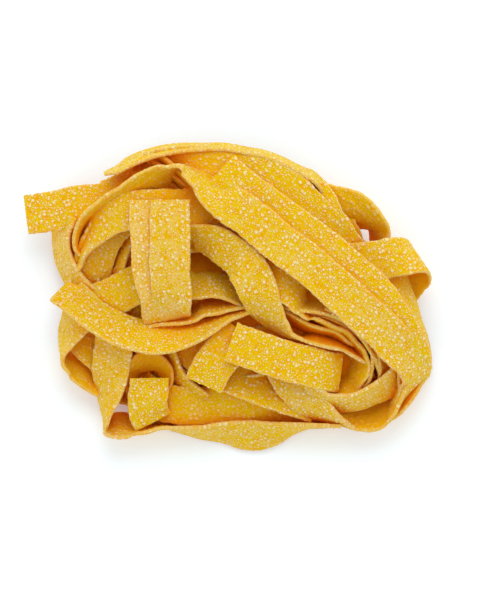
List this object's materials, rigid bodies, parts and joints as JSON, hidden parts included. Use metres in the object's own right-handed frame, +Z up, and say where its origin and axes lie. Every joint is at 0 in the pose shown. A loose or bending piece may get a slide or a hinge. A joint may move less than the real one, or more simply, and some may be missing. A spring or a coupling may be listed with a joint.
{
  "type": "dry pasta nest",
  "caption": "Loose oval nest of wide flat dried egg pasta ribbons that cross, arch and fold over each other, with one free end sticking out flat on the left.",
  "frame": {"origin": "under the middle of the nest's bounding box, at its lowest point, on the surface it rests on", "axes": "+X along the nest's length, from the side with the free end towards the side with the standing loop; +Y towards the back, where the rim stands highest; +Z up"},
  "size_m": [0.1236, 0.093, 0.0345],
  "materials": {
    "pasta": "rough grainy golden yellow dried egg pasta with pale semolina flecks"
  },
  "bodies": {
    "root": {"pasta_nest": "pasta"}
  },
  "joints": []
}
